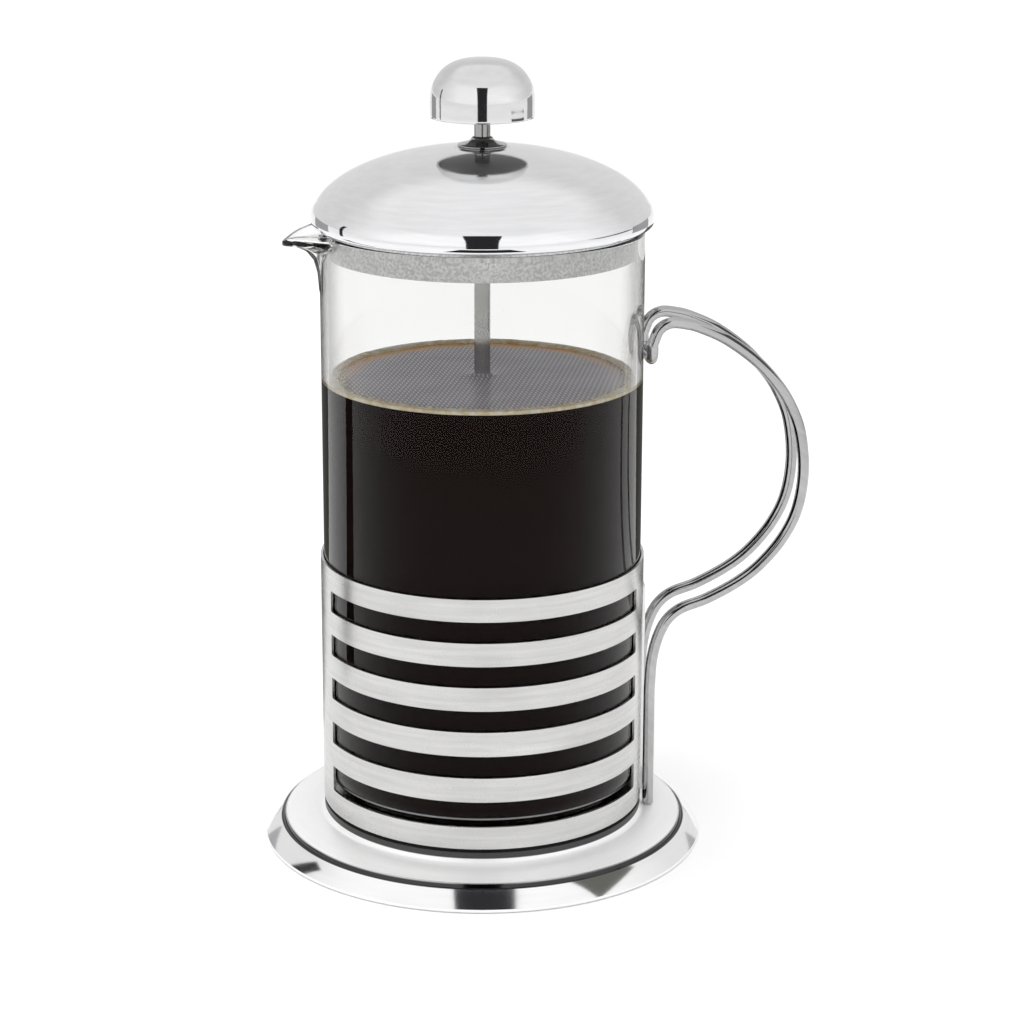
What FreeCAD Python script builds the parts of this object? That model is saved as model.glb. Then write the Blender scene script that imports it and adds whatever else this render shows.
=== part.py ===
import FreeCAD, Part
import Sketcher
import math
import os

# French press with a steel frame, all lengths in millimetres.
# z = 0 is the underside of the foot, the beaker's axis is the z axis,
# the handle points to +x and the spout to -x.

os.makedirs("parts", exist_ok=True)
doc = FreeCAD.newDocument("french_press")
XY = "XY_Plane"
XZ = "XZ_Plane"
YZ = "YZ_Plane"

# ---------------------------------------------------------------- sizes
SIZES = {
    "sheet_metal": 0.8,
    "cage_sheet": 0.7,
    "cage_radius": 49.0,
    "cage_floor_z": 12.6,
    "cage_top_z": 89.9,
    "slot_span_deg": 134.2,
    "slot_middle_deg": 96.3,
    "deck_z": 11.4,
    "pad_radius": 60.4,
    "pad_thickness": 2.0,
    "rivet_radius": 2.0,
    "rivet_head_radius": 4.0,
    "rivet_circle": 20.0,
    "rivet_low_z": 9.4,
    "rivet_high_z": 14.1,
    "wire_radius": 1.7,
    "wire_spacing": 16.0,
    "wire_top_leg_x": 50.05,
    "wire_low_leg_x": 50.77,
    "wire_turn_z": 149.4,
    "wire_turn_radius": 3.2,
    "wire_end_z": 8.5,
    "bracket_sheet": 0.7,
    "bracket_low_z": 14.5,
    "bracket_top_z": 78.5,
    "bracket_span_deg": 27.0,
    "bracket_taper": 20.0,
    "spout_axis": 46.0,
    "rod_radius": 2.4,
    "rod_low_z": 20.6,
    "rod_top_z": 230.6,
    "filter_radius": 45.4,
    "filter_plate_z": 23.0,
    "filter_sheet": 0.8,
    "spring_wire": 1.2,
    "screen_plate_radius": 43.4,
    "spring_plate_radius": 43.6,
}

# Outlines of turned shapes: corners as (radius, height) or (radius, height, arc
# radius). An arc radius belongs to the edge that ends in that corner; it is
# positive where the edge bulges to the left of its direction.
OUTLINES = {
    "base_skirt": [
        (66.2, 0.3), (67.1, 0.3), (67.1, 1.3), (62.3, 5.7, -40.0), (61.3, 6.9, -1.6),
        (50.4, 8.2, -60.0), (48.9, 9.6, 1.5), (48.9, 11.4), (0, 11.4), (0, 10.6),
        (48.1, 10.6), (48.1, 8.6), (49.9, 7.4, -2.2), (60.5, 6.1), (61.5, 5.0), (66.2, 1.1),
    ],
    "cage_seat_ring": [
        (12.0, 11.4), (48.9, 11.4), (48.9, 12.6, -0.65), (12.0, 12.6),
    ],
    "beaker_cushion": [
        (27.0, 13.3), (38.0, 13.3), (38.0, 16.3), (27.0, 16.3),
    ],
    "lid_dome": [
        (49.0, 190.5), (49.75, 190.75), (50.6, 193.0, -3.2), (50.0, 196.0, -8.0),
        (44.0, 202.65, -17.0), (30.0, 209.25, -36.0), (10.5, 212.95, -100.0),
        (8.2, 212.2, 4.0), (4.1, 212.0), (4.1, 211.2), (8.4, 211.4), (10.6, 212.1, -4.0),
        (29.7, 208.5, 98.0), (43.4, 202.0, 35.0), (49.2, 195.8, 16.0), (49.8, 193.0, 7.0),
        (49.0, 191.2, 2.6),
    ],
    "lid_skirt": [
        (44.8, 182.2), (45.4, 182.2), (45.4, 189.8), (49.0, 189.8), (49.0, 190.5),
        (44.8, 190.5),
    ],
    "lid_bush": [
        (2.46, 202.6), (4.0, 202.6), (4.0, 212.16), (5.4, 212.16), (5.2, 212.4), (2.46, 212.4),
    ],
    "rod_collar": [
        (2.4, 212.5), (5.4, 212.5), (7.1, 212.9), (7.35, 213.25), (7.05, 213.5),
        (7.35, 213.75), (7.2, 214.1), (3.6, 215.1, 12.0), (3.0, 216.2, 1.6), (2.4, 216.4),
    ],
    "knob_shell": [
        (14.55, 222.0), (15.35, 222.0), (15.35, 227.3), (13.5, 233.3, -10.5), (9.0, 237.4, -9.6),
        (1.5, 239.1, -24.0), (0, 239.1), (0, 238.3), (1.5, 238.3), (8.6, 236.65, 23.2),
        (12.8, 232.9, 8.8), (14.55, 227.3, 9.7),
    ],
    "knob_insert": [
        (2.46, 222.5), (14.55, 222.5), (14.55, 224.3), (5.2, 224.3), (5.2, 233.0), (0, 233.0),
        (0, 231.0), (2.46, 231.0),
    ],
    "filter_hub": [
        (2.4, 25.0), (6.5, 25.0), (6.5, 26.4), (4.6, 27.2), (4.6, 31.5), (4.0, 32.3), (2.4, 32.3),
    ],
    "filter_mesh": [
        (2.4, 23.8), (45.0, 23.8), (45.4, 24.4, -0.5), (45.4, 27.6), (45.1, 27.6), (45.1, 24.4),
        (44.8, 24.1, 0.3), (2.4, 24.1),
    ],
    "filter_nut": [
        (0, 19.6), (3.2, 19.6), (5.6, 21.2, -3.2), (6.2, 22.95), (2.46, 22.95), (2.46, 20.4),
        (0, 20.4),
    ],
}

TURNED_PARTS = list(OUTLINES)
OUTLINES.update({
    "beaker_outside": [
        (0, 16.35), (40.0, 16.35), (48.0, 24.35, -8.0), (48.0, 188.7), (47.0, 189.7, -1.0),
        (0, 189.7),
    ],
    "spout_outside": [
        (0, 170.0), (1.9, 172.0), (3.3, 179.0, 40.0), (7.6, 184.2, 7.5), (12.0, 185.8, 30.0),
        (13.0, 186.9, -1.2), (13.0, 189.1), (12.4, 189.7, -0.6), (0, 189.7),
    ],
    "beaker_inside": [
        (0, 18.85), (40.0, 18.85), (46.0, 24.85, -6.0), (46.0, 195.0), (0, 195.0),
    ],
    "spout_inside": [
        (0, 176.0), (1.6, 180.0), (6.4, 186.0, 8.5), (10.6, 187.6, 30.0), (11.0, 188.3, -0.6),
        (11.0, 195.0), (0, 195.0),
    ],
})

# Slots of the cage as (lower edge, upper edge).
SLOTS = [(19.5, 27.4), (34.9, 41.7), (49.2, 55.8), (63.0, 69.5), (76.6, 83.1)]

# Handle wire between the two upright legs as (x, z) of its middle line.
HANDLE_CURVE = [
    (50.05, 154.5), (51.9, 158.8), (55.4, 160.8), (60.0, 160.4), (64.5, 159.1),
    (72.3, 155.4), (81.0, 149.0), (87.4, 142.2), (92.1, 135.1), (95.6, 126.2),
    (97.0, 114.0), (95.5, 102.3), (91.3, 93.1), (84.6, 84.9), (77.4, 79.3),
    (68.0, 74.4), (60.2, 71.6), (55.8, 68.0), (53.0, 62.4), (51.3, 55.0), (50.77, 46.0),
]

sheet = doc.addObject("Spreadsheet::Sheet", "Sizes")
next_row = 1


def store(alias, value):
    """Write one driving dimension into the sheet."""
    global next_row
    sheet.set("A%d" % next_row, alias)
    sheet.set("B%d" % next_row, str(value))
    sheet.setAlias("B%d" % next_row, alias)
    next_row += 1


for alias, value in SIZES.items():
    store(alias, value)
for part_name, outline in OUTLINES.items():
    for number, corner in enumerate(outline):
        for axis_name, value in zip(("radius", "height", "arc"), corner):
            store("%s_%s_%d" % (part_name, axis_name, number), value)
for number, edges in enumerate(SLOTS):
    store("slot_low_%d" % number, edges[0])
    store("slot_high_%d" % number, edges[1])
for number, place in enumerate(HANDLE_CURVE):
    store("handle_x_%d" % number, place[0])
    store("handle_z_%d" % number, place[1])
doc.recompute()


def size(alias):
    """Value of a driving dimension."""
    return float(sheet.get(alias))


# -------------------------------------------------------------- helpers
def new_body(label):
    body = doc.addObject("PartDesign::Body", label)
    body.Label = label
    return body


def origin_plane(body, role):
    for feature in body.Origin.OriginFeatures:
        if feature.Role == role:
            return feature
    raise ValueError(role)


def new_sketch(body, name, role):
    sketch = body.newObject("Sketcher::SketchObject", name)
    sketch.AttachmentSupport = [(origin_plane(body, role), "")]
    sketch.MapMode = "FlatFace"
    return sketch


def pin(sketch, geometry, point, coordinates, expressions):
    """Hold a sketch point at coordinates that follow the sheet."""
    kinds = ("DistanceX", "DistanceY")
    for kind, value, expression in zip(kinds, coordinates, expressions):
        if value == 0:
            other_axis = -2 if kind == "DistanceX" else -1
            sketch.addConstraint(Sketcher.Constraint("PointOnObject", geometry, point, other_axis))
            continue
        row = sketch.addConstraint(Sketcher.Constraint(kind, -1, 1, geometry, point, value))
        sketch.setExpression("Constraints[%d]" % row, expression)


def arc_between(start, end, radius):
    """Short counter-clockwise arc and whether it begins at start.

    A positive radius bulges to the left of the way from start to end.
    """
    along = end - start
    left = FreeCAD.Vector(-along.y, along.x, 0).normalize()
    half = along.Length / 2
    rise = math.sqrt(radius * radius - half * half)
    side = 1 if radius > 0 else -1
    centre = (start + end) * 0.5 - left * side * rise
    first, last = (start, end) if radius < 0 else (end, start)
    first_angle = math.atan2(first.y - centre.y, first.x - centre.x)
    last_angle = math.atan2(last.y - centre.y, last.x - centre.x)
    if last_angle < first_angle:
        last_angle += 2 * math.pi
    circle = Part.Circle(centre, FreeCAD.Vector(0, 0, 1), abs(radius))
    return Part.ArcOfCircle(circle, first_angle, last_angle), radius < 0


def draw_outline(sketch, corners, names):
    """Closed outline of lines and arcs whose corners follow the sheet."""
    points = [FreeCAD.Vector(corner[0], corner[1], 0) for corner in corners]
    ends = []
    for number, corner in enumerate(corners):
        start = points[number - 1]
        end = points[number]
        if len(corner) == 3:
            curve, begins_at_start = arc_between(start, end, corner[2])
            geometry = sketch.addGeometry(curve)
            ends.append((geometry, 1, 2) if begins_at_start else (geometry, 2, 1))
        else:
            ends.append((sketch.addGeometry(Part.LineSegment(start, end)), 1, 2))
    for number, (geometry, head, tail) in enumerate(ends):
        following, its_head, its_tail = ends[(number + 1) % len(ends)]
        sketch.addConstraint(
            Sketcher.Constraint("Coincident", geometry, tail, following, its_head))
    for number, corner in enumerate(corners):
        geometry, head, tail = ends[number]
        pin(sketch, geometry, tail, corner[:2], names[number][:2])
        if len(corner) == 3:
            row = sketch.addConstraint(
                Sketcher.Constraint("Radius", geometry, abs(corner[2])))
            sketch.setExpression("Constraints[%d]" % row, "abs(%s)" % names[number][2])


def turned_feature(body, name, kind, axis_x):
    """Turn the outline of that name about an upright axis at x = axis_x."""
    corners = OUTLINES[name]
    names = []
    for number in range(len(corners)):
        names.append(["Sizes.%s_%s_%d" % (name, part, number)
                      for part in ("radius", "height", "arc")])
    sketch = new_sketch(body, name + "_outline", XZ)
    if axis_x != "0":
        sketch.setExpression("AttachmentOffset.Base.x", axis_x)
    draw_outline(sketch, corners, names)
    feature = body.newObject(kind, name + "_turned")
    feature.Profile = sketch
    feature.ReferenceAxis = (sketch, ["V_Axis"])
    feature.Angle = 360
    body.Tip = feature


def turned(label):
    """Body of revolution about the z axis from its outline."""
    body = new_body(label)
    turned_feature(body, label, "PartDesign::Revolution", "0")
    return body


def rectangle(sketch, low, high, expressions):
    """Rectangle between two corners; expressions are (x0, y0, x1, y1)."""
    corners = [(low[0], low[1]), (high[0], low[1]), (high[0], high[1]), (low[0], high[1])]
    x0, y0, x1, y1 = expressions
    draw_outline(sketch, corners, [(x0, y0), (x1, y0), (x1, y1), (x0, y1)])


def bind(target, expressions):
    for name, expression in expressions.items():
        target.setExpression(name, expression)


def cylinder(name, expressions):
    target = doc.addObject("Part::Cylinder", name)
    bind(target, expressions)
    return target


# ------------------------------------------------------------ the parts
nodes = []
for label in TURNED_PARTS:
    nodes.append(turned(label))

# Pad that closes the foot's underside, with a rim up to the spun steel.
pad = new_body("base_pad")
sketch = new_sketch(pad, "base_pad_outline", XZ)
pad_radius = size("pad_radius")
pad_top = size("pad_thickness")
pad_corners = [(0, 0), (pad_radius, 0), (pad_radius, 6.1), (pad_radius - 1.6, 6.1),
               (pad_radius - 1.6, pad_top), (0, pad_top)]
rim = "Sizes.pad_radius"
rim_inside = "Sizes.pad_radius - 1.6"
pad_names = [("0", "0"), (rim, "0"), (rim, "6.1"), (rim_inside, "6.1"),
             (rim_inside, "Sizes.pad_thickness"), ("0", "Sizes.pad_thickness")]
draw_outline(sketch, pad_corners, pad_names)
feature = pad.newObject("PartDesign::Revolution", "base_pad_turned")
feature.Profile = sketch
feature.ReferenceAxis = (sketch, ["V_Axis"])
feature.Angle = 360
pad.Tip = feature
nodes.append(pad)

# Cage: a cup of thin sheet with two rows of long slots.
cage = new_body("cage")
sketch = new_sketch(cage, "cage_outline", XZ)
outer = size("cage_radius")
inner = outer - size("cage_sheet")
floor = size("cage_floor_z")
floor_top = floor + size("cage_sheet")
top = size("cage_top_z")
wall_out = "Sizes.cage_radius"
wall_in = "Sizes.cage_radius - Sizes.cage_sheet"
floor_name = "Sizes.cage_floor_z"
floor_top_name = "Sizes.cage_floor_z + Sizes.cage_sheet"
draw_outline(
    sketch,
    [(8.0, floor), (outer, floor), (outer, top), (inner, top), (inner, floor_top),
     (8.0, floor_top)],
    [("8", floor_name), (wall_out, floor_name), (wall_out, "Sizes.cage_top_z"),
     (wall_in, "Sizes.cage_top_z"), (wall_in, floor_top_name), ("8", floor_top_name)])
feature = cage.newObject("PartDesign::Revolution", "cage_turned")
feature.Profile = sketch
feature.ReferenceAxis = (sketch, ["V_Axis"])
feature.Angle = 360
cage.Tip = feature
slot_rows = []
for side, sign in (("front", -1), ("back", 1)):
    sketch = new_sketch(cage, "slots_" + side, XZ)
    turn = FreeCAD.Rotation(FreeCAD.Vector(0, 1, 0), sign * size("slot_middle_deg") * -1)
    sketch.AttachmentOffset = FreeCAD.Placement(FreeCAD.Vector(0, 0, 0), turn.inverted())
    for number in range(len(SLOTS)):
        low_name = "slot_low_%d" % number
        high_name = "slot_high_%d" % number
        rectangle(
            sketch,
            (outer - 3, size(low_name)), (outer + 3, size(high_name)),
            (wall_out + " - 3", "Sizes." + low_name, wall_out + " + 3", "Sizes." + high_name))
    groove = cage.newObject("PartDesign::Groove", "slot_cut_" + side)
    groove.Profile = sketch
    groove.ReferenceAxis = (sketch, ["V_Axis"])
    groove.Midplane = True
    groove.setExpression("Angle", "Sizes.slot_span_deg")
    cage.Tip = groove
nodes.append(cage)

# Bracket: thin curved plate on the cage, tapered towards its top.
bracket = new_body("handle_bracket")
sketch = new_sketch(bracket, "bracket_section", XZ)
bracket_out = wall_out + " + Sizes.bracket_sheet"
rectangle(
    sketch,
    (outer, size("bracket_low_z")),
    (outer + size("bracket_sheet"), size("bracket_top_z")),
    (wall_out, "Sizes.bracket_low_z", bracket_out, "Sizes.bracket_top_z"))
feature = bracket.newObject("PartDesign::Revolution", "bracket_bent")
feature.Profile = sketch
feature.ReferenceAxis = (sketch, ["V_Axis"])
feature.Midplane = True
feature.setExpression("Angle", "Sizes.bracket_span_deg")
bracket.Tip = feature
sketch = new_sketch(bracket, "bracket_taper_cut", YZ)
half_width = 14.0
bracket_top = size("bracket_top_z")
taper = size("bracket_taper")
top_name = "Sizes.bracket_top_z"
for sign in (-1, 1):
    draw_outline(
        sketch,
        [(sign * half_width, bracket_top - taper), (sign * half_width, bracket_top + 1),
         (sign * 6.0, bracket_top + 1)],
        [(str(sign * half_width), top_name + " - Sizes.bracket_taper"),
         (str(sign * half_width), top_name + " + 1"), (str(sign * 6.0), top_name + " + 1")])
cut = bracket.newObject("PartDesign::Pocket", "bracket_tapered")
cut.Profile = sketch
cut.Type = "ThroughAll"
cut.Midplane = True
bracket.Tip = cut
nodes.append(bracket)

# Rivets through foot, seat ring and cage floor: one node of three solids.
rivets = []
for number in range(3):
    angle = math.radians(60 + 120 * number)
    place_x = "Sizes.rivet_circle * %.6f" % math.cos(angle)
    place_y = "Sizes.rivet_circle * %.6f" % math.sin(angle)
    shank = cylinder("rivet_shank_%d" % number, {
        "Radius": "Sizes.rivet_radius",
        "Height": "Sizes.rivet_high_z - Sizes.rivet_low_z",
        "Placement.Base.x": place_x, "Placement.Base.y": place_y,
        "Placement.Base.z": "Sizes.rivet_low_z"})
    low_head = cylinder("rivet_low_head_%d" % number, {
        "Radius": "Sizes.rivet_head_radius",
        "Height": "Sizes.deck_z - Sizes.sheet_metal - Sizes.rivet_low_z",
        "Placement.Base.x": place_x, "Placement.Base.y": place_y,
        "Placement.Base.z": "Sizes.rivet_low_z"})
    high_head = cylinder("rivet_high_head_%d" % number, {
        "Radius": "Sizes.rivet_head_radius",
        "Height": "Sizes.rivet_high_z - Sizes.cage_floor_z - Sizes.cage_sheet",
        "Placement.Base.x": place_x, "Placement.Base.y": place_y,
        "Placement.Base.z": "Sizes.cage_floor_z + Sizes.cage_sheet"})
    rivet = doc.addObject("Part::MultiFuse", "rivet_%d" % number)
    rivet.Shapes = [shank, low_head, high_head]
    rivets.append(rivet)
for label in ("base_skirt", "cage_seat_ring", "cage"):
    drilled = doc.getObject(label)
    sketch = new_sketch(drilled, label + "_rivet_holes", XY)
    for number in range(3):
        angle = math.radians(60 + 120 * number)
        centre = FreeCAD.Vector(math.cos(angle), math.sin(angle), 0) * size("rivet_circle")
        geometry = sketch.addGeometry(
            Part.Circle(centre, FreeCAD.Vector(0, 0, 1), size("rivet_radius")))
        pin(sketch, geometry, 3, (centre.x, centre.y),
            ("Sizes.rivet_circle * %.6f" % math.cos(angle),
             "Sizes.rivet_circle * %.6f" % math.sin(angle)))
        row = sketch.addConstraint(
            Sketcher.Constraint("Radius", geometry, size("rivet_radius")))
        sketch.setExpression("Constraints[%d]" % row, "Sizes.rivet_radius")
    hole = drilled.newObject("PartDesign::Pocket", label + "_drilled")
    hole.Profile = sketch
    hole.Type = "ThroughAll"
    hole.Midplane = True
    drilled.Tip = hole
rivet_group = doc.addObject("Part::Compound", "base_rivets")
rivet_group.Links = rivets
nodes.append(rivet_group)

# Nut under the lid: hexagonal prism with a bore for the bush.
prism = doc.addObject("Part::Prism", "lid_nut_hexagon")
prism.Polygon = 6
bind(prism, {"Circumradius": "7", "Height": "3.4", "Placement.Base.z": "207.75"})
bore = cylinder("lid_nut_bore", {"Radius": "4", "Height": "10", "Placement.Base.z": "204"})
lid_nut = doc.addObject("Part::Cut", "lid_nut")
lid_nut.Base = prism
lid_nut.Tool = bore
nodes.append(lid_nut)

# Plunger rod with a bevelled top.
rod_bar = cylinder("plunger_rod_bar", {
    "Radius": "Sizes.rod_radius", "Height": "Sizes.rod_top_z - Sizes.rod_low_z",
    "Placement.Base.z": "Sizes.rod_low_z"})
doc.recompute()
rod = doc.addObject("Part::Chamfer", "plunger_rod")
rod.Base = rod_bar
rod.Edges = [(1, 0.5, 0.5), (3, 0.5, 0.5)]
nodes.append(rod)


def pierced_disc(label, low_z, thickness, radius, rings):
    """Flat disc with a rod hole and rings of (circle radius, hole radius, count)."""
    body = new_body(label)
    sketch = new_sketch(body, label + "_outline", XY)
    for value, name in ((size(radius), "Sizes." + radius), (size("rod_radius"), "Sizes.rod_radius")):
        geometry = sketch.addGeometry(
            Part.Circle(FreeCAD.Vector(0, 0, 0), FreeCAD.Vector(0, 0, 1), value))
        sketch.addConstraint(Sketcher.Constraint("Coincident", geometry, 3, -1, 1))
        row = sketch.addConstraint(Sketcher.Constraint("Radius", geometry, value))
        sketch.setExpression("Constraints[%d]" % row, name)
    sketch.setExpression("AttachmentOffset.Base.z", low_z)
    pad_feature = body.newObject("PartDesign::Pad", label + "_disc")
    pad_feature.Profile = sketch
    pad_feature.setExpression("Length", thickness)
    body.Tip = pad_feature
    for number, (circle_radius, hole_radius, count) in enumerate(rings):
        sketch = new_sketch(body, "%s_ring_%d" % (label, number), XY)
        geometry = sketch.addGeometry(Part.Circle(
            FreeCAD.Vector(circle_radius, 0, 0), FreeCAD.Vector(0, 0, 1), hole_radius))
        pin(sketch, geometry, 3, (circle_radius, 0), (str(circle_radius), "0"))
        sketch.addConstraint(Sketcher.Constraint("Radius", geometry, hole_radius))
        hole = body.newObject("PartDesign::Pocket", "%s_hole_%d" % (label, number))
        hole.Profile = sketch
        hole.Type = "ThroughAll"
        hole.Midplane = True
        body.Tip = hole
        pattern = body.newObject("PartDesign::PolarPattern", "%s_pattern_%d" % (label, number))
        pattern.Originals = [hole]
        pattern.Axis = (sketch, ["N_Axis"])
        pattern.Angle = 360
        pattern.Occurrences = count
        body.Tip = pattern
    return body


nodes.append(pierced_disc(
    "filter_plate", "Sizes.filter_plate_z", "Sizes.filter_sheet", "screen_plate_radius",
    [(11.0, 1.8, 10), (19.0, 2.2, 14), (28.0, 2.6, 18), (37.5, 2.6, 26)]))
nodes.append(pierced_disc(
    "spiral_plate", "Sizes.filter_plate_z + 1.1", "0.9", "spring_plate_radius",
    [(13.0, 2.6, 8), (22.0, 3.0, 12), (31.5, 3.2, 18)]))

# Coil spring round the filter's edge, as the ring that its coils fill.
spring = doc.addObject("Part::Torus", "edge_spring")
bind(spring, {
    "Radius1": "Sizes.filter_radius - 0.35 - Sizes.spring_wire",
    "Radius2": "Sizes.spring_wire",
    "Placement.Base.z": "Sizes.filter_plate_z + 2 + Sizes.spring_wire"})
nodes.append(spring)


# Handle: one round wire, two runs and a U-turn that rests against the glass.
def tangent_arc(start, direction, end):
    """Arc that leaves start along direction and passes through end."""
    chord = end - start
    normal = chord - direction * chord.dot(direction)
    if normal.Length < 1e-4 * chord.Length:
        return Part.makeLine(start, end)
    normal.normalize()
    radius = chord.Length ** 2 / (2 * chord.dot(normal))
    centre = start + normal * radius
    middle = centre + ((start + end) * 0.5 - centre).normalize() * abs(radius)
    return Part.Arc(start, middle, end).toShape()


def curve_directions(points):
    """Directions along a curve through the points, upright at both ends."""
    directions = [FreeCAD.Vector(0, 0, 1)]
    for before, after in zip(points, points[2:]):
        directions.append((after - before).normalize())
    directions.append(FreeCAD.Vector(0, 0, -1))
    return directions


def arc_chain(points):
    """Smooth chain of two arcs between each pair of neighbouring points."""
    edges = []
    directions = curve_directions(points)
    for number in range(len(points) - 1):
        start, end = points[number], points[number + 1]
        leaving, arriving = directions[number], directions[number + 1]
        chord = end - start
        both = leaving + arriving
        bend = 2 * (1 - leaving.dot(arriving))
        along = chord.dot(both)
        if bend < 1e-9:
            reach = chord.dot(chord) / (2 * along)
        else:
            reach = (math.sqrt(along * along + bend * chord.dot(chord)) - along) / bend
        joint = (start + end + (leaving - arriving) * reach) * 0.5
        edges.append(tangent_arc(start, leaving, joint))
        edges.append(tangent_arc(end, arriving * -1, joint))
    return edges


def handle_path():
    half = size("wire_spacing") / 2
    top_x = size("wire_top_leg_x")
    low_x = size("wire_low_leg_x")
    turn_z = size("wire_turn_z")
    bend = size("wire_turn_radius")
    end_z = size("wire_end_z")
    curve = []
    for number in range(len(HANDLE_CURVE)):
        curve.append((size("handle_x_%d" % number), size("handle_z_%d" % number)))
    edges = [Part.makeLine(
        FreeCAD.Vector(top_x, bend - half, turn_z), FreeCAD.Vector(top_x, half - bend, turn_z))]
    for sign in (-1, 1):
        y = sign * half
        start = FreeCAD.Vector(top_x, y, turn_z + bend)
        end = FreeCAD.Vector(top_x, y - sign * bend, turn_z)
        centre = FreeCAD.Vector(top_x, y - sign * bend, turn_z + bend)
        diagonal = FreeCAD.Vector(0, sign, -1).normalize() * bend
        edges.append(Part.Arc(start, centre + diagonal, end).toShape())
        edges.append(Part.makeLine(start, FreeCAD.Vector(top_x, y, curve[0][1])))
        edges += arc_chain([FreeCAD.Vector(x, y, z) for x, z in curve])
        edges.append(Part.makeLine(
            FreeCAD.Vector(low_x, y, curve[-1][1]), FreeCAD.Vector(low_x, y, end_z)))
    return Part.Wire(Part.__sortEdges__(edges))


def handle_shape():
    path = handle_path()
    end = path.OrderedVertexes[0].Point
    circle = Part.Circle(end, FreeCAD.Vector(0, 0, 1), size("wire_radius"))
    profile = Part.Face(Part.Wire([circle.toShape()]))
    solid = path.makePipe(profile)
    return Part.Solid(solid.Solids[0])


handle = doc.addObject("Part::Feature", "handle_wire")
handle.Shape = handle_shape()
nodes.append(handle)


# Beaker: turned cup; its pouring spout is a trumpet standing on the wall.
beaker = new_body("beaker")
spout_x = "-Sizes.spout_axis"
for name, kind, axis_x in (
        ("beaker_outside", "PartDesign::Revolution", "0"),
        ("spout_outside", "PartDesign::Revolution", spout_x),
        ("beaker_inside", "PartDesign::Groove", "0"),
        ("spout_inside", "PartDesign::Groove", spout_x)):
    turned_feature(beaker, name, kind, axis_x)
nodes.append(beaker)

# --------------------------------------------------------------- export
doc.recompute()
for item in doc.Objects:
    if "Invalid" in item.State or "Error" in item.State:
        raise RuntimeError("failed: " + item.Name + " " + str(item.State))
for node in nodes:
    if node.Shape.isNull() or not node.Shape.isValid():
        raise RuntimeError("bad shape: " + node.Label)
    node.Shape.exportStep("parts/%s.step" % node.Label)
    box = node.Shape.BoundBox
    print("%-16s vol %9.1f  solids %d  x %.1f..%.1f  y %.1f..%.1f  z %.1f..%.1f" % (
        node.Label, node.Shape.Volume, len(node.Shape.Solids), box.XMin, box.XMax,
        box.YMin, box.YMax, box.ZMin, box.ZMax))
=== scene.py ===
import math
import random

import bmesh
import bpy
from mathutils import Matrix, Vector


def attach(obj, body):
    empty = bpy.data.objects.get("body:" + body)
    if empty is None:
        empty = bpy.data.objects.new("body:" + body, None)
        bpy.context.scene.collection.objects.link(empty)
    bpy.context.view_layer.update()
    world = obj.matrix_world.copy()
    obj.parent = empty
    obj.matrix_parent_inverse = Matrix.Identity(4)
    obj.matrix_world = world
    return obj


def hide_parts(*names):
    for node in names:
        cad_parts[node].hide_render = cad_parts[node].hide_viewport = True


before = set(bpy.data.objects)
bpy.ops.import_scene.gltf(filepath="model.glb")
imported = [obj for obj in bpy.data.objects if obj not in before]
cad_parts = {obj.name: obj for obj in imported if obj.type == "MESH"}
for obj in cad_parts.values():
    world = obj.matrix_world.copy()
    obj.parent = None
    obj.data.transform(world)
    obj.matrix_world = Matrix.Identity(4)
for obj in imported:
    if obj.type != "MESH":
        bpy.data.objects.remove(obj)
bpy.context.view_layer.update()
random.seed(7)
MM = 0.001


# ------------------------------------------------------------- node helpers
def new_material(name):
    material = bpy.data.materials.new(name)
    material.use_nodes = True
    tree = material.node_tree
    shader = tree.nodes["Principled BSDF"]
    return material, tree, shader


def add_node(tree, kind, inputs=None, **settings):
    node = tree.nodes.new(kind)
    for key, value in settings.items():
        setattr(node, key, value)
    for key, value in (inputs or {}).items():
        if isinstance(value, bpy.types.NodeSocket):
            tree.links.new(value, node.inputs[key])
        else:
            node.inputs[key].default_value = value
    return node


def math_node(tree, operation, first, second=0.0, third=None):
    inputs = {0: first, 1: second}
    if third is not None:
        inputs[2] = third
    return add_node(tree, "ShaderNodeMath", inputs, operation=operation).outputs[0]


def mapped(tree, scale, around=False):
    """Object coordinates, scaled; around=True gives (angle, height, radius)."""
    place = add_node(tree, "ShaderNodeTexCoord").outputs["Object"]
    if around:
        parts = add_node(tree, "ShaderNodeSeparateXYZ", {0: place})
        angle = math_node(tree, "ARCTAN2", parts.outputs[1], parts.outputs[0])
        radius = add_node(
            tree, "ShaderNodeVectorMath", {0: place}, operation="LENGTH").outputs["Value"]
        place = add_node(
            tree, "ShaderNodeCombineXYZ", {0: angle, 1: parts.outputs[2], 2: radius}).outputs[0]
    return add_node(tree, "ShaderNodeMapping", {"Vector": place, "Scale": scale}).outputs[0]


def from_axis(tree, parts):
    """Distance from the z axis, for the separated coordinates."""
    flat = add_node(tree, "ShaderNodeCombineXYZ", {0: parts.outputs[0], 1: parts.outputs[1]})
    return add_node(
        tree, "ShaderNodeVectorMath", {0: flat.outputs[0]}, operation="LENGTH").outputs["Value"]


def noise(tree, vector, scale, detail=3.0, roughness=0.5):
    return add_node(
        tree, "ShaderNodeTexNoise",
        {"Vector": vector, "Scale": scale, "Detail": detail,
         "Roughness": roughness}).outputs["Fac"]


def remap(tree, value, low, high, from_low=0.3, from_high=0.7):
    return add_node(
        tree, "ShaderNodeMapRange",
        {"Value": value, "From Min": from_low, "From Max": from_high,
         "To Min": low, "To Max": high}).outputs["Result"]


def blend_colours(tree, factor, first, second):
    node = add_node(tree, "ShaderNodeMix", data_type="RGBA")
    for key, value in ((0, factor), (6, first), (7, second)):
        if isinstance(value, bpy.types.NodeSocket):
            tree.links.new(value, node.inputs[key])
        else:
            node.inputs[key].default_value = value
    return node.outputs[2]


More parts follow.
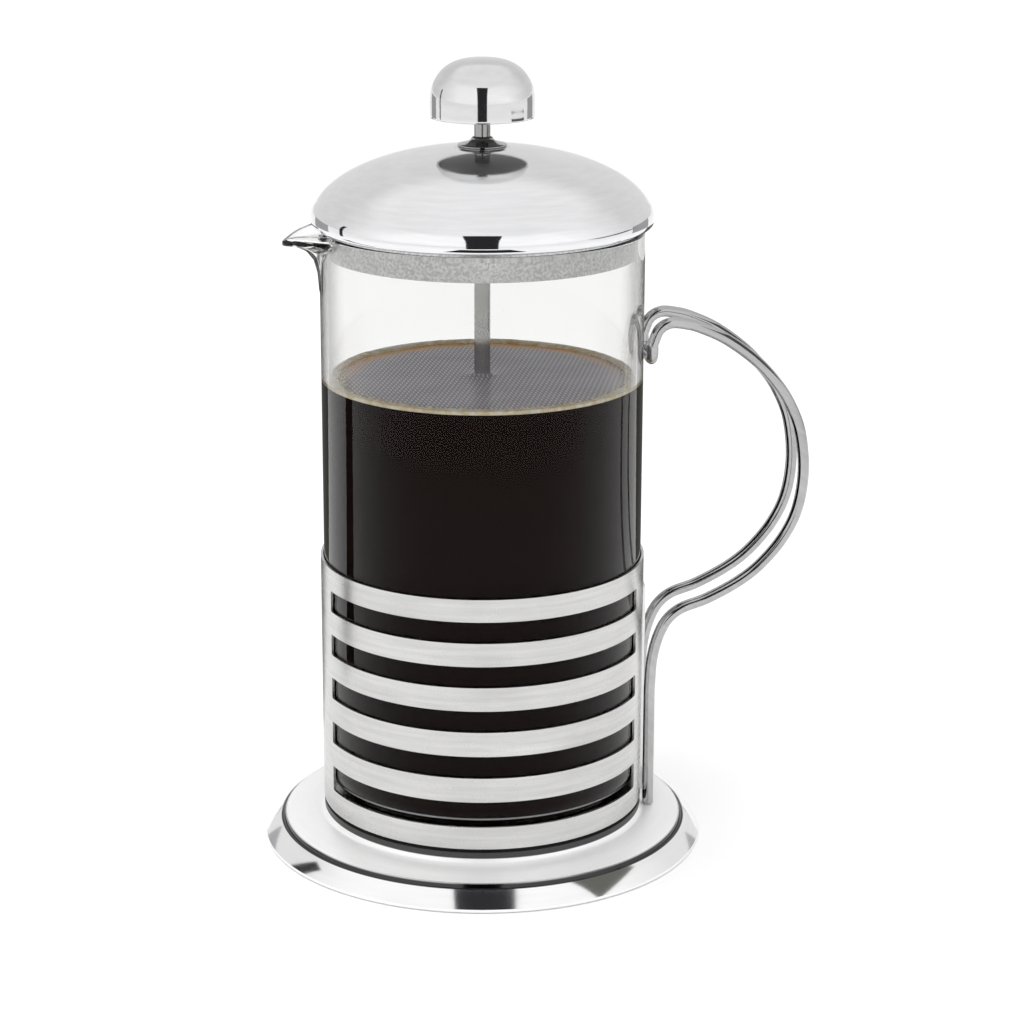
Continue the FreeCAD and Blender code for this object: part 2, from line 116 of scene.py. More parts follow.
def bump(tree, shader, height, strength, distance):
    node = add_node(
        tree, "ShaderNodeBump", {"Strength": strength, "Distance": distance, "Height": height})
    tree.links.new(node.outputs[0], shader.inputs["Normal"])


def rgba(level, tint=(0, 0, 0)):
    return (level + tint[0], level + tint[1], level + tint[2], 1.0)


# ---------------------------------------------------------------- materials
def metal(name, dark, light, rough_low, rough_high, lines, line_strength, speckle=0.0):
    """Bare metal with drifting polish, turning or drawing lines and faint smudges."""
    material, tree, shader = new_material(name)
    shader.inputs["Metallic"].default_value = 1.0
    place = mapped(tree, (1, 1, 1))
    cloud = noise(tree, place, 38.0, 4.0, 0.6)
    smudge = noise(tree, place, 110.0, 4.0, 0.6)
    streaks = noise(tree, mapped(tree, lines, around=True), 1.0, 2.0, 0.6)
    if speckle:
        grains = noise(tree, place, speckle, 2.0, 0.5)
        pattern = remap(tree, grains, 0.0, 0.8, 0.30, 0.75)
        pattern = math_node(tree, "MULTIPLY_ADD", streaks, 0.3, pattern)
    else:
        pattern = math_node(tree, "MULTIPLY_ADD", streaks, 0.6, math_node(
            tree, "MULTIPLY", cloud, 0.4))
    tone = blend_colours(tree, remap(tree, pattern, 0.0, 1.0), dark, light)
    tree.links.new(tone, shader.inputs["Base Color"])
    tree.links.new(remap(tree, smudge, rough_low, rough_high), shader.inputs["Roughness"])
    bump(tree, shader, pattern, line_strength, 0.0003)
    return material


mirror_steel = metal(
    "mirror_steel", rgba(0.64), rgba(0.73), 0.05, 0.085, (2.0, 420.0, 0.0), 0.004)
wire_steel = metal(
    "polished_wire", rgba(0.36), rgba(0.47), 0.09, 0.14, (30.0, 60.0, 700.0), 0.01)
satin_steel = metal(
    "satin_steel", rgba(0.50, (0.0, -0.002, -0.014)), rgba(0.64, (0.0, -0.002, -0.014)),
    0.24, 0.31, (1.6, 700.0, 0.0), 0.02)
rod_steel = metal(
    "rod_steel", rgba(0.27, (0.012, 0.008, 0.0)), rgba(0.38, (0.012, 0.008, 0.0)), 0.12, 0.18,
    (14.0, 90.0, 0.0), 0.01)
# Near-black steel for the seat ring in the recess under the cage: painted shade.
painted_shade_steel = metal(
    "painted_shade_steel", rgba(0.035), rgba(0.07), 0.30, 0.42, (2.0, 420.0, 0.0), 0.01)
frosted_steel = metal(
    "frosted_steel", rgba(0.42), rgba(0.60), 0.26, 0.40, (3.0, 500.0, 0.0), 0.08, speckle=1300.0)


STEP_RADIUS = 0.0617
NECK_RADIUS, NECK_FOOT = 0.0489, 0.0094
DECK_END = 0.0604


def make_foot_steel():
    """Spun foot: satin deck, mirror cone, and painted shade in the crease beside the deck and at
    the neck.
    """
    material, tree, shader = new_material("foot_steel")
    place = mapped(tree, (1, 1, 1))
    cloud = noise(tree, place, 30.0, 4.0, 0.6)
    turned = noise(tree, mapped(tree, (3.0, 300.0, 900.0), around=True), 1.0, 2.0, 0.6)
    parts = add_node(tree, "ShaderNodeSeparateXYZ", {0: place})
    radius = from_axis(tree, parts)
    off_crease = math_node(tree, "ABSOLUTE", math_node(tree, "SUBTRACT", radius, STEP_RADIUS))
    # Near-black band along the crease at the step: painted shade.
    crease_painted_shade = remap(tree, off_crease, 1.0, 0.0, 0.00045, 0.0009)
    pattern = math_node(tree, "MULTIPLY_ADD", turned, 0.5, math_node(
        tree, "MULTIPLY", cloud, 0.5))
    tone = blend_colours(tree, remap(tree, pattern, 0.0, 1.0), rgba(0.90), rgba(0.96))
    tone = blend_colours(tree, crease_painted_shade, tone, rgba(0.05))
    # Near-black band on the neck under the cage: painted shade of the recess.
    neck_painted_shade = math_node(
        tree, "MULTIPLY",
        remap(tree, radius, 1.0, 0.0, NECK_RADIUS + 0.0001, NECK_RADIUS + 0.0005),
        remap(tree, parts.outputs[2], 0.0, 1.0, NECK_FOOT, NECK_FOOT + 0.0003))
    tone = blend_colours(tree, neck_painted_shade, tone, rgba(0.045))
    tree.links.new(tone, shader.inputs["Base Color"])
    cone = remap(tree, radius, 0.0, 1.0, DECK_END, DECK_END + 0.0008)
    tree.links.new(remap(tree, cone, 0.30, 1.0, 0.0, 1.0), shader.inputs["Metallic"])
    polish = remap(tree, cloud, 0.08, 0.13)
    satin = remap(tree, cloud, 0.34, 0.42)
    mixed = math_node(
        tree, "MULTIPLY_ADD", cone, math_node(tree, "SUBTRACT", polish, satin), satin)
    tree.links.new(mixed, shader.inputs["Roughness"])
    bump(tree, shader, pattern, 0.004, 0.0003)
    return material


foot_steel = make_foot_steel()


def make_lid_steel():
    """Dome with a satin-brushed crown and a mirror-bright rolled rim."""
    material, tree, shader = new_material("lid_steel")
    shader.inputs["Metallic"].default_value = 1.0
    place = mapped(tree, (1, 1, 1))
    cloud = noise(tree, place, 30.0, 4.0, 0.6)
    brushed = noise(tree, mapped(tree, (60.0, 140.0, 900.0)), 1.0, 3.0, 0.6)
    height = add_node(tree, "ShaderNodeSeparateXYZ", {0: place}).outputs[2]
    crown = remap(tree, height, 0.0, 1.0, 0.1968, 0.1982)
    pattern = math_node(tree, "MULTIPLY_ADD", brushed, 0.7, math_node(
        tree, "MULTIPLY", cloud, 0.3))
    tone = blend_colours(tree, remap(tree, pattern, 0.0, 1.0), rgba(0.73, (0, 0, 0.008)),
                         rgba(0.82, (0, 0, 0.012)))
    tree.links.new(tone, shader.inputs["Base Color"])
    fine = remap(tree, brushed, 0.09, 0.14)
    rim = remap(tree, cloud, 0.035, 0.055)
    mixed = math_node(tree, "MULTIPLY_ADD", crown, math_node(tree, "SUBTRACT", fine, rim), rim)
    tree.links.new(mixed, shader.inputs["Roughness"])
    bump(tree, shader, math_node(tree, "MULTIPLY", brushed, crown), 0.006, 0.0003)
    return material


lid_steel = make_lid_steel()


def make_mesh_screen():
    material, tree, shader = new_material("woven_mesh")
    shader.inputs["Metallic"].default_value = 1.0
    place = mapped(tree, (1, 1, 1))
    threads = []
    for direction in ("X", "Y"):
        threads.append(add_node(
            tree, "ShaderNodeTexWave", {"Vector": place, "Scale": 260.0, "Distortion": 0.15},
            bands_direction=direction).outputs["Fac"])
    weave = math_node(tree, "MULTIPLY", threads[0], threads[1])
    tone = blend_colours(tree, weave, rgba(0.10), rgba(0.66))
    tree.links.new(tone, shader.inputs["Base Color"])
    tree.links.new(remap(tree, weave, 0.5, 0.28, 0.0, 1.0), shader.inputs["Roughness"])
    bump(tree, shader, weave, 0.6, 0.0003)
    return material


def make_soft(name, dark, light, rough, grain, coat=0.0):
    material, tree, shader = new_material(name)
    place = mapped(tree, (1, 1, 1))
    cloud = noise(tree, place, 60.0, 4.0, 0.6)
    fine = noise(tree, place, grain, 3.0, 0.6)
    tree.links.new(blend_colours(tree, cloud, dark, light), shader.inputs["Base Color"])
    tree.links.new(remap(tree, fine, rough - 0.07, rough + 0.07), shader.inputs["Roughness"])
    shader.inputs["Coat Weight"].default_value = coat
    bump(tree, shader, fine, 0.15, 0.0003)
    return material


def make_glass():
    """Clear glass, greyer where it is seen edge on, but less so in the spout (-x)."""
    material, tree, shader = new_material("clear_glass")
    place = mapped(tree, (1, 1, 1))
    shader.inputs["Transmission Weight"].default_value = 1.0
    shader.inputs["IOR"].default_value = 1.47
    shader.inputs["Specular Tint"].default_value = (0.16, 0.16, 0.165, 1)
    tint = blend_colours(
        tree, noise(tree, place, 20.0, 2.0), (0.895, 0.897, 0.891, 1), (0.92, 0.922, 0.915, 1))
    grazing = add_node(tree, "ShaderNodeLayerWeight", {"Blend": 0.5}).outputs["Facing"]
    along = add_node(tree, "ShaderNodeSeparateXYZ", {0: place}).outputs[0]
    edge = math_node(
        tree, "MULTIPLY", remap(tree, grazing, 0.0, 1.0, 0.54, 0.84),
        remap(tree, along, 0.12, 1.0, -0.0500, -0.0485))
    tint = blend_colours(tree, edge, tint, (0.14, 0.14, 0.13, 1))
    tree.links.new(tint, shader.inputs["Base Color"])
    shader.inputs["Roughness"].default_value = 0.0
    return material


HEEL_HIGHLIGHT_HEIGHT = 0.0212


def make_coffee():
    """Black coffee, with a painted highlight: the bright line that the heel of the glass draws
    round it.
    """
    material, tree, shader = new_material("coffee")
    place = mapped(tree, (1, 1, 1))
    cloud = noise(tree, place, 30.0, 3.0, 0.5)
    tone = blend_colours(tree, cloud, (0.0085, 0.0042, 0.0034, 1), (0.013, 0.0062, 0.005, 1))
    height = add_node(tree, "ShaderNodeSeparateXYZ", {0: place}).outputs[2]
    off_heel = math_node(tree, "ABSOLUTE", math_node(tree, "SUBTRACT", height, HEEL_HIGHLIGHT_HEIGHT))
    # Near-white line at the heel height: painted highlight.
    painted_heel_highlight = remap(tree, off_heel, 1.0, 0.0, 0.00018, 0.00034)
    tone = blend_colours(tree, painted_heel_highlight, tone, rgba(0.95))
    tree.links.new(tone, shader.inputs["Base Color"])
    shader.inputs["Specular IOR Level"].default_value = 0.0
    tree.links.new(remap(tree, cloud, 0.10, 0.16), shader.inputs["Roughness"])
    bump(tree, shader, cloud, 0.02, 0.001)
    return material


def make_coffee_surface():
    """Still surface in grey-violet with a fine hatch like a screen's, a painted reflection, and an
    amber edge on its +y side, painted light.
    """
    material, tree, shader = new_material("coffee_surface")
    place = mapped(tree, (1, 1, 1))
    turned = add_node(
        tree, "ShaderNodeMapping",
        {"Vector": place, "Rotation": (0, 0, math.radians(7.3)),
         "Scale": (1.0, 0.24, 1.0)}).outputs[0]
    threads = []
    for lean in (45.0, -45.0):
        along = add_node(
            tree, "ShaderNodeMapping",
            {"Vector": turned, "Rotation": (0, 0, math.radians(lean))}).outputs[0]
        threads.append(add_node(
            tree, "ShaderNodeTexWave", {"Vector": along, "Scale": 350.0},
            bands_direction="X").outputs["Fac"])
    weave = math_node(tree, "MULTIPLY", threads[0], threads[1])
    drift = noise(tree, mapped(tree, (1.0, 1.6, 1.0)), 42.0, 4.0, 0.6)
    # Grey-violet field with the hatch on black coffee: painted reflection.
    dark = blend_colours(tree, drift, (0.17, 0.155, 0.175, 1), (0.38, 0.36, 0.395, 1))
    light = blend_colours(tree, drift, (0.56, 0.53, 0.58, 1), (0.86, 0.83, 0.90, 1))
    painted_reflection = blend_colours(tree, remap(tree, weave, 0.0, 1.0, 0.1, 0.8), dark, light)
    parts = add_node(tree, "ShaderNodeSeparateXYZ", {0: place})
    radius = from_axis(tree, parts)
    wander = math_node(tree, "MULTIPLY_ADD", noise(tree, place, 60.0, 3.0), 0.004, radius)
    # Amber edge, only on the +y side: painted light.
    edge = remap(tree, wander, 0.0, 1.0, 0.0385, 0.0440)
    edge = math_node(
        tree, "MULTIPLY", edge, remap(tree, parts.outputs[1], 0.12, 1.0, -0.004, 0.030))
    tone = blend_colours(tree, edge, painted_reflection, (0.80, 0.42, 0.12, 1))
    tree.links.new(tone, shader.inputs["Base Color"])
    tree.links.new(remap(tree, drift, 0.12, 0.22), shader.inputs["Roughness"])
    shader.inputs["IOR"].default_value = 1.14
    return material


def make_foam():
    material, tree, shader = new_material("coffee_foam")
    place = mapped(tree, (1, 1, 1))
    cells = add_node(
        tree, "ShaderNodeTexVoronoi", {"Vector": place, "Scale": 620.0}).outputs["Distance"]
    big = add_node(
        tree, "ShaderNodeTexVoronoi", {"Vector": place, "Scale": 210.0}).outputs["Distance"]
    froth = math_node(tree, "ADD", cells, math_node(tree, "MULTIPLY", big, 0.6))
    tone = blend_colours(
        tree, remap(tree, froth, 0.0, 1.0, 0.45, 1.05), (0.97, 0.92, 0.76, 1),
        (0.80, 0.66, 0.42, 1))
    pits = remap(tree, noise(tree, place, 420.0, 2.0), 0.0, 1.0, 0.72, 0.78)
    tone = blend_colours(tree, pits, tone, (0.10, 0.045, 0.02, 1))
    tree.links.new(tone, shader.inputs["Base Color"])
    tree.links.new(remap(tree, cells, 0.25, 0.5), shader.inputs["Roughness"])
    shader.inputs["Subsurface Weight"].default_value = 0.15
    shader.inputs["Subsurface Radius"].default_value = (0.002, 0.0012, 0.0006)
    bump(tree, shader, froth, 0.6, 0.0008)
    return material


woven_mesh = make_mesh_screen()
black_plastic = make_soft("black_plastic", rgba(0.018), rgba(0.03), 0.42, 900.0)
grey_plastic = make_soft("grey_plastic", rgba(0.13), rgba(0.19), 0.42, 900.0)
silicone = make_soft("clear_silicone", rgba(0.55), rgba(0.66), 0.5, 700.0)
clear_glass = make_glass()
coffee_body = make_coffee()
coffee_top = make_coffee_surface()
foam_froth = make_foam()


# ----------------------------------------------------------- shape helpers
def rounded(corners, step=0.25):
    """Outline points in mm from corners (r, z) or (r, z, arc radius).

    An arc radius belongs to the edge that ends in that corner and is positive
    where the edge bulges to the left of its direction.
    """
    points = []
    for number, corner in enumerate(corners):
        end = Vector(corner[:2])
        if len(corner) == 3:
            start = Vector(corners[number - 1][:2])
            along = end - start
            left = Vector((-along.y, along.x)).normalized()
            radius = corner[2]
            rise = math.sqrt(radius * radius - along.length_squared / 4)
            side = 1 if radius > 0 else -1
            centre = (start + end) / 2 - left * side * rise
            sweep = 2 * math.asin(along.length / 2 / abs(radius))
            count = max(2, math.ceil(abs(radius) * sweep / step))
            first = start - centre
            for piece in range(1, count):
                turn = -side * sweep * piece / count
                cosine, sine = math.cos(turn), math.sin(turn)
                points.append((
                    centre.x + first.x * cosine - first.y * sine,
                    centre.y + first.x * sine + first.y * cosine))
        points.append((end.x, end.y))
    return points


def smooth_through(places, count):
    """Catmull-Rom points in mm through the given places."""
    places = [Vector(place) for place in places]
    padded = [2 * places[0] - places[1]] + places + [2 * places[-1] - places[-2]]
    points = []
    for number in range(len(places) - 1):
        a, b, c, d = padded[number:number + 4]
        for piece in range(count):
            t = piece / count
            point = 0.5 * (2 * b + (c - a) * t + (2 * a - 5 * b + 4 * c - d) * t * t
                           + (3 * b - a - 3 * c + d) * t * t * t)
            points.append(tuple(point))
    points.append(tuple(places[-1]))
    return points


def mark_sharp(mesh, angle_deg):
    limit = math.radians(angle_deg)
    work = bmesh.new()
    work.from_mesh(mesh)
    bmesh.ops.recalc_face_normals(work, faces=work.faces)
    for face in work.faces:
        face.smooth = True
    for edge in work.edges:
        if len(edge.link_faces) == 2 and edge.calc_face_angle(0.0) > limit:
            edge.smooth = False
    work.to_mesh(mesh)
    work.free()


def build(name, vertices, faces, material, sharp=32.0):
    mesh = bpy.data.meshes.new(name)
    mesh.from_pydata(vertices, [], faces)
    mesh.update()
    mark_sharp(mesh, sharp)
    mesh.materials.append(material)
    piece = bpy.data.objects.new(name, mesh)
    bpy.context.scene.collection.objects.link(piece)
    return piece


def lathe(name, outline, material, segments=192, shape=None, start=0.0, span=360.0, sharp=32.0):
    """Closed turned piece; shape(r, z, angle) may push points to (r, z)."""
    full = span >= 360.0
    steps = segments if full else max(2, int(segments * span / 360))
    vertices, faces, rings = [], [], []
    columns = steps if full else steps + 1
    for r, z in outline:
        if r < 1e-6:
            vertices.append((0, 0, z * MM))
            rings.append([len(vertices) - 1] * columns)
            continue
        ring = []
        for column in range(columns):
            angle = math.radians(start + span * column / steps)
            radius, height = shape(r, z, angle) if shape else (r, z)
            vertices.append((
                radius * math.cos(angle) * MM, radius * math.sin(angle) * MM, height * MM))
            ring.append(len(vertices) - 1)
        rings.append(ring)
    for number in range(len(rings)):
        ring, following = rings[number], rings[(number + 1) % len(rings)]
        if number == len(rings) - 1 and ring[0] == ring[-1] and following[0] == following[-1]:
            continue
        for column in range(steps):
            beside = (column + 1) % columns
            corners = []
            for index in (ring[column], ring[beside], following[beside], following[column]):
                if index not in corners:
                    corners.append(index)
            if len(corners) > 2:
                faces.append(corners)
    if not full:
        faces.append([ring[0] for ring in rings])
        faces.append([ring[-1] for ring in reversed(rings)])
    return build(name, vertices, faces, material, sharp)


def put(piece, body, slot, *nodes):
    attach(piece, body)
    if nodes:
        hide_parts(*nodes)
    return piece


def repaint(node, material):
    """Keep a CAD node and give it a detailed material."""
    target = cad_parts[node]
    for slot in target.material_slots:
        slot.material = material


# --------------------------------------------------------------- the frame
base_outline = rounded([
    (66.2, 0.3), (66.9, 0.3), (67.1, 0.5, 0.2), (67.1, 1.3), (62.45, 5.6, -40.0),
    (62.0, 5.35), (61.5, 5.6), (61.3, 6.4), (60.7, 6.95, -0.7), (50.4, 8.2),
    (48.9, 9.6, 1.5), (48.9, 11.4), (0, 11.4), (0, 10.6), (48.1, 10.6),
    (48.1, 8.6), (49.9, 7.4, -2.2), (60.5, 6.1), (61.5, 5.0), (66.2, 1.1),
])
put(lathe("foot_shell", base_outline, foot_steel, 256), "frame", "mirror_steel", "base_skirt")
seat_outline = rounded([(12.0, 11.4), (47.7, 11.4), (47.7, 12.6), (12.0, 12.6)])
# The seat ring is in near-black steel: painted shade of its recess.
put(lathe("foot_bead", seat_outline, painted_shade_steel, 256), "frame", "mirror_steel",
    "cage_seat_ring")
repaint("base_pad", black_plastic)
repaint("base_rivets", wire_steel)
repaint("beaker_cushion", silicone)

SLOTS = [(19.5, 27.4), (34.9, 41.7), (49.2, 55.8), (63.0, 69.5), (76.6, 83.1)]
FRONT_SLOTS = (195.4, 333.0)
BACK_SLOTS = (27.0, 164.6)


def slotted_cage():
    """Cup of sheet whose slots have small rounded corners."""
    inner, outer = 48.3, 49.0
    floor, top = 12.6, 89.9
    spans = (FRONT_SLOTS, BACK_SLOTS)
    corner = 0.9
    heights = {floor, floor + 0.7, top}
    for low, high in SLOTS:
        for share in (0.0, 0.3, 0.65, 1.0):
            heights.add(round(low + corner * share, 3))
            heights.add(round(high - corner * share, 3))
    heights = sorted(heights)
    angles = set()
    for first, last in spans:
        for share in (0.0, 0.3, 0.65, 1.0):
            angles.add(round(first + math.degrees(corner / outer) * share, 4))
            angles.add(round(last - math.degrees(corner / outer) * share, 4))
    for number in range(240):
        angles.add(number * 1.5)
    angles = sorted(angle % 360 for angle in angles)
    merged = [angles[0]]
    for angle in angles[1:]:
        if angle - merged[-1] > 0.05:
            merged.append(angle)
    angles = merged

    def is_open(angle, height):
        for first, last in spans:
            if first < angle < last:
                for low, high in SLOTS:
                    if low < height < high:
                        across = min(angle - first, last - angle) * math.radians(1) * outer
                        up = min(height - low, high - height)
                        if across < corner and up < corner:
                            return math.hypot(corner - across, corner - up) < corner
                        return True
        return False

    columns = len(angles)
    work = bmesh.new()
    grid = {}

    def vertex(radius, row, column):
        key = (radius, row, column % columns)
        if key not in grid:
            angle = math.radians(angles[column % columns])
            grid[key] = work.verts.new((
                radius * MM * math.cos(angle), radius * MM * math.sin(angle), heights[row] * MM))
        return grid[key]

    solid = {}
    for row in range(len(heights) - 1):
        for column in range(columns):
            following = angles[(column + 1) % columns] + (360 if column == columns - 1 else 0)
            middle = (angles[column] + following) / 2 % 360
            solid[row, column] = not is_open(middle, (heights[row] + heights[row + 1]) / 2)
    for (row, column), filled in solid.items():
        if not filled:
            continue
        beside = column + 1
        work.faces.new([vertex(outer, row, column), vertex(outer, row, beside),
                        vertex(outer, row + 1, beside), vertex(outer, row + 1, column)])
        if row > 0:
            work.faces.new([vertex(inner, row, beside), vertex(inner, row, column),
                            vertex(inner, row + 1, column), vertex(inner, row + 1, beside)])
        if row > 0 and not solid[row - 1, column]:
            work.faces.new([vertex(inner, row, column), vertex(inner, row, beside),
                            vertex(outer, row, beside), vertex(outer, row, column)])
        last_row = row == len(heights) - 2
        if last_row or not solid[row + 1, column]:
            work.faces.new([vertex(outer, row + 1, column), vertex(outer, row + 1, beside),
                            vertex(inner, row + 1, beside), vertex(inner, row + 1, column)])
        if not solid[row, (column - 1) % columns]:
            work.faces.new([vertex(outer, row, column), vertex(outer, row + 1, column),
                            vertex(inner, row + 1, column), vertex(inner, row, column)])
        if not solid[row, (column + 1) % columns]:
            work.faces.new([vertex(inner, row, beside), vertex(inner, row + 1, beside),
                            vertex(outer, row + 1, beside), vertex(outer, row, beside)])
    # Floor: underside from the outer wall, upper side from the inner wall.
    drain = 8.0
    low_ring, high_ring = [], []
    for column in range(columns):
        angle = math.radians(angles[column])
        x, y = drain * MM * math.cos(angle), drain * MM * math.sin(angle)
        low_ring.append(work.verts.new((x, y, heights[0] * MM)))
        high_ring.append(work.verts.new((x, y, heights[1] * MM)))
    for column in range(columns):
        beside = (column + 1) % columns
        work.faces.new([vertex(outer, 0, beside), vertex(outer, 0, column),
                        low_ring[column], low_ring[beside]])
        work.faces.new([vertex(inner, 1, column), vertex(inner, 1, beside),
                        high_ring[beside], high_ring[column]])
        work.faces.new([low_ring[beside], low_ring[column], high_ring[column],
                        high_ring[beside]])
    mesh = bpy.data.meshes.new("slotted_cage")
    work.to_mesh(mesh)
    work.free()
    mark_sharp(mesh, 30.0)
    mesh.materials.append(satin_steel)
    piece = bpy.data.objects.new("slotted_cage", mesh)
    bpy.context.scene.collection.objects.link(piece)
    return piece


put(slotted_cage(), "frame", "satin_steel", "cage")
repaint("handle_bracket", mirror_steel)

HANDLE_CURVE = [
    (50.05, 154.5), (51.9, 158.8), (55.4, 160.8), (60.0, 160.4), (64.5, 159.1),
    (72.3, 155.4), (81.0, 149.0), (87.4, 142.2), (92.1, 135.1), (95.6, 126.2),
    (97.0, 114.0), (95.5, 102.3), (91.3, 93.1), (84.6, 84.9), (77.4, 79.3),
    (68.0, 74.4), (60.2, 71.6), (55.8, 68.0), (53.0, 62.4), (51.3, 55.0), (50.77, 46.0),
]


def swept(name, curve):
    """Mesh of a bevelled curve, in polished wire."""
    source = bpy.data.objects.new(name + "_line", curve)
    bpy.context.scene.collection.objects.link(source)
    bpy.context.view_layer.update()
    graph = bpy.context.evaluated_depsgraph_get()
    mesh = bpy.data.meshes.new_from_object(source.evaluated_get(graph))
    bpy.data.objects.remove(source)
    mesh.name = name
    mark_sharp(mesh, 40.0)
    mesh.materials.clear()
    mesh.materials.append(wire_steel)
    piece = bpy.data.objects.new(name, mesh)
    bpy.context.scene.collection.objects.link(piece)
    return piece


def handle_wire():
    """One round wire: two runs 16 mm apart, joined by a U-turn at the glass."""
    half, radius = 8.0, 1.7
    run = smooth_through(HANDLE_CURVE, 10)
    low_end, turn_z, bend = 8.5, 149.4, 3.2
    front = [(50.77, -half, low_end), (50.77, -half, 20.0), (50.77, -half, 34.0)]
    front += [(x, -half, z) for x, z in reversed(run)]
    for degrees in (0, 22.5, 45, 67.5, 90):
        angle = math.radians(degrees)
        front.append((50.05, -half + bend - bend * math.cos(angle),
                      turn_z + bend - bend * math.sin(angle)))
    path = front + [(x, -y, z) for x, y, z in reversed(front)]
    curve = bpy.data.curves.new("looped_handle", "CURVE")
    curve.dimensions = "3D"
    curve.bevel_depth = radius * MM
    curve.bevel_resolution = 8
    curve.use_fill_caps = True
    curve.resolution_u = 4
    spline = curve.splines.new("BEZIER")
    spline.bezier_points.add(len(path) - 1)
    for point, place in zip(spline.bezier_points, path):
        point.co = Vector(place) * MM
        point.handle_left_type = "AUTO"
        point.handle_right_type = "AUTO"
    return swept("looped_handle", curve)


put(handle_wire(), "frame", "polished_wire", "handle_wire")

# --------------------------------------------------------------- the beaker
SPOUT_CENTRE = 46.0


def trumpet_radius(z, inside):
    """Radius of the spout's trumpet at a height."""
    if inside:
        table = [(176.0, 0.0), (180.0, 1.6), (183.0, 2.7), (185.0, 4.4), (186.3, 7.2),
                 (187.4, 9.8), (188.4, 10.9), (196.0, 11.0)]
    else:
        table = [(169.0, 0.0), (172.0, 1.9), (177.0, 2.6), (181.0, 3.9), (183.4, 5.8),
                 (184.9, 8.6), (185.9, 11.9), (186.9, 12.9), (196.0, 13.0)]
    if z <= table[0][0]:
        return 0.0
    for (z0, r0), (z1, r1) in zip(table, table[1:]):
        if z <= z1:
            share = (z - z0) / (z1 - z0)
            return r0 + (r1 - r0) * share
    return table[-1][1]


def beyond_wall(radius, trumpet, angle):
    """Distance from the axis to the wall, pushed out to a pointed beak at -x."""
    if trumpet <= 0:
        return radius
    away = abs((math.pi - angle + math.pi) % (2 * math.pi) - math.pi)
    if away > math.radians(60):
        return radius
    tip = SPOUT_CENTRE + trumpet
    half = 1.05 * trumpet
    beak = tip * half / (half * math.cos(away) + (tip - SPOUT_CENTRE) * math.sin(away))
    side = SPOUT_CENTRE * math.sin(away)
    if side < trumpet:
        bowl = SPOUT_CENTRE * math.cos(away) + math.sqrt(trumpet * trumpet - side * side)
        beak += (bowl - beak) * 0.30
    blend = 1.6
    gap = beak - radius
    if gap > blend:
        return beak
    if gap < -blend:
        return radius
    return radius + (gap + blend) ** 2 / (4 * blend)


def beaker_wall(r, z, angle):
    inside = r < 46.5
    radius = beyond_wall(r, trumpet_radius(z, inside), angle)
    reach = max(0.0, radius - 49.0) / 10.0
    share = max(0.0, min(1.0, (z - 184.0) / 5.7))
    return radius, z - 3.0 * reach * reach * share


def beaker_outline():
    points = rounded([(0, 16.35), (40.0, 16.35), (48.0, 24.35, -8.0)], 0.5)
    for z in (40, 60, 80, 100, 120, 140, 155, 165, 169):
        points.append((48.0, z))
    z = 170.0
    while z < 188.6:
        points.append((48.0, z))
        z += 0.5
    points += rounded([(48.0, 188.7), (47.0, 189.7, -1.0), (46.0, 188.7, -1.0)], 0.2)
    z = 188.2
    while z > 175.9:
        points.append((46.0, z))
        z -= 0.5
    for z in (170, 165, 155, 140, 120, 100, 80, 60, 40):
        points.append((46.0, z))
    points += rounded([(46.0, 24.85), (40.0, 18.85, 6.0), (0, 18.85)], 0.5)
    return points


put(lathe("glass_beaker", beaker_outline(), clear_glass, 360, beaker_wall, sharp=60.0),
    "beaker", "clear_glass", "beaker")

# Coffee and foam, which the beaker holds.
coffee_outline = rounded([
    (0, 18.6), (40.0, 18.6), (46.25, 24.85, -6.25), (46.25, 144.2), (0, 144.2)], 0.5)
put(lathe("coffee_fill", coffee_outline, coffee_body, 192), "beaker", None)
surface_outline = smooth_through(
    [(0, 144.4), (2.5, 145.6), (3.4, 145.1), (6.0, 144.75), (12.0, 144.6), (30.0, 144.6),
     (42.0, 144.6), (45.9, 144.6)], 6)[1:]
surface_outline = [(2.42, 144.0)] + [p for p in surface_outline if p[0] > 2.45] + [(45.9, 144.0)]
put(lathe("coffee_face", surface_outline, coffee_top, 192), "beaker", None)


def foam_shape(r, z, angle):
    """Uneven inner edge and lower edge of the foam."""
    lumps = math.sin(angle * 37) * 0.10 + math.sin(angle * 61 + 1.3) * 0.08
    width = 0.35 * math.sin(angle * 5 + 0.7) + 0.25 * math.sin(angle * 11)
    if r < 45.5:
        return r + width + lumps, z
    if z < 143.6:
        return r, z + lumps * 2.0 + 0.25 * math.sin(angle * 17 + 0.4)
    return r, z


foam_outline = rounded([
    (46.15, 141.9), (46.15, 145.1), (45.2, 145.5, -1.6), (43.3, 144.7, -2.0), (43.3, 143.4),
    (45.2, 141.9),
], 0.2)
put(lathe("foam_ring", foam_outline, foam_froth, 720, foam_shape), "beaker", None)


